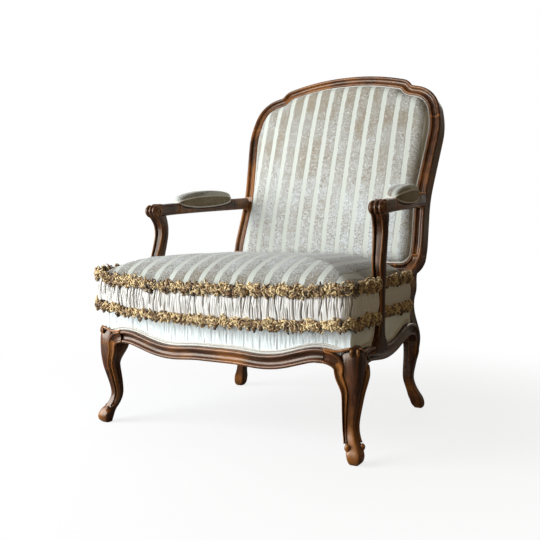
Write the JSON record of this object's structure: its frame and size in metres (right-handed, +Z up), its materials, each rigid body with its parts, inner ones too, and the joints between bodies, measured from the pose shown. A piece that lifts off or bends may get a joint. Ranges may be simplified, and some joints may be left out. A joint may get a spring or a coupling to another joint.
{
  "type": "armchair",
  "caption": "Carved walnut open armchair with cabriole legs, an upholstered raked back, padded arms and a loose fringed seat cushion.",
  "frame": {"origin": "on the floor, in the middle of the footprint of the whole chair", "axes": "+Z up, the chair faces -Y, +X is the sitter's left"},
  "size_m": [0.7838, 0.8534, 1.0259],
  "materials": {
    "walnut": "waxed and worn",
    "beech": "raw",
    "striped_velvet": "crushed velvet and plain ivory stripes",
    "olive_velvet": "crushed velvet",
    "ivory_cloth": "gathered plain weave",
    "white_deck_cloth": "crinkled rib",
    "white_welt": "covered piping",
    "moss_fringe": "looped yarn",
    "jute_webbing": "woven tape",
    "hessian": "coarse weave",
    "black_cloth": "thin weave",
    "hair_stuffing": "curled hair",
    "down_filling": "feather and down",
    "screw_steel": "dull"
  },
  "bodies": {
    "frame": {"arm_pad_left": "olive_velvet", "arm_pad_right": "olive_velvet", "arm_pad_welt_left": "white_welt", "arm_pad_welt_right": "white_welt", "arm_rail_left": "walnut", "arm_rail_right": "walnut", "arm_support_left": "walnut", "arm_support_right": "walnut", "back_pad": "striped_velvet", "back_post_left": "walnut", "back_post_right": "walnut", "back_webbing_cross": "jute_webbing", "back_webbing_upright": "jute_webbing", "back_welt": "white_welt", "corner_block_screws": "screw_steel", "crest_rail": "walnut", "deck_welt_front": "white_welt", "deck_welt_left": "white_welt", "deck_welt_right": "white_welt", "dust_cover": "black_cloth", "front_corner_blocks": "beech", "front_leg_left": "walnut", "front_leg_right": "walnut", "front_seat_rail": "walnut", "lower_back_rail": "walnut", "outside_back_panel": "striped_velvet", "rear_corner_blocks": "beech", "rear_seat_rail": "walnut", "seat_deck_cover": "white_deck_cloth", "seat_hessian": "hessian", "seat_stuffing": "hair_stuffing", "seat_webbing_crosswise": "jute_webbing", "seat_webbing_lengthwise": "jute_webbing", "side_seat_rail_left": "walnut", "side_seat_rail_right": "walnut"},
    "cushion": {"cushion_cover": "striped_velvet", "cushion_filling": "down_filling", "cushion_fringe_bottom": "moss_fringe", "cushion_fringe_top": "moss_fringe"}
  },
  "joints": [
    {"name": "cushion_pull", "type": "slide", "parent": "frame", "child": "cushion", "axis": [0, -1, 0], "range_m": [0, 0.42]}
  ]
}
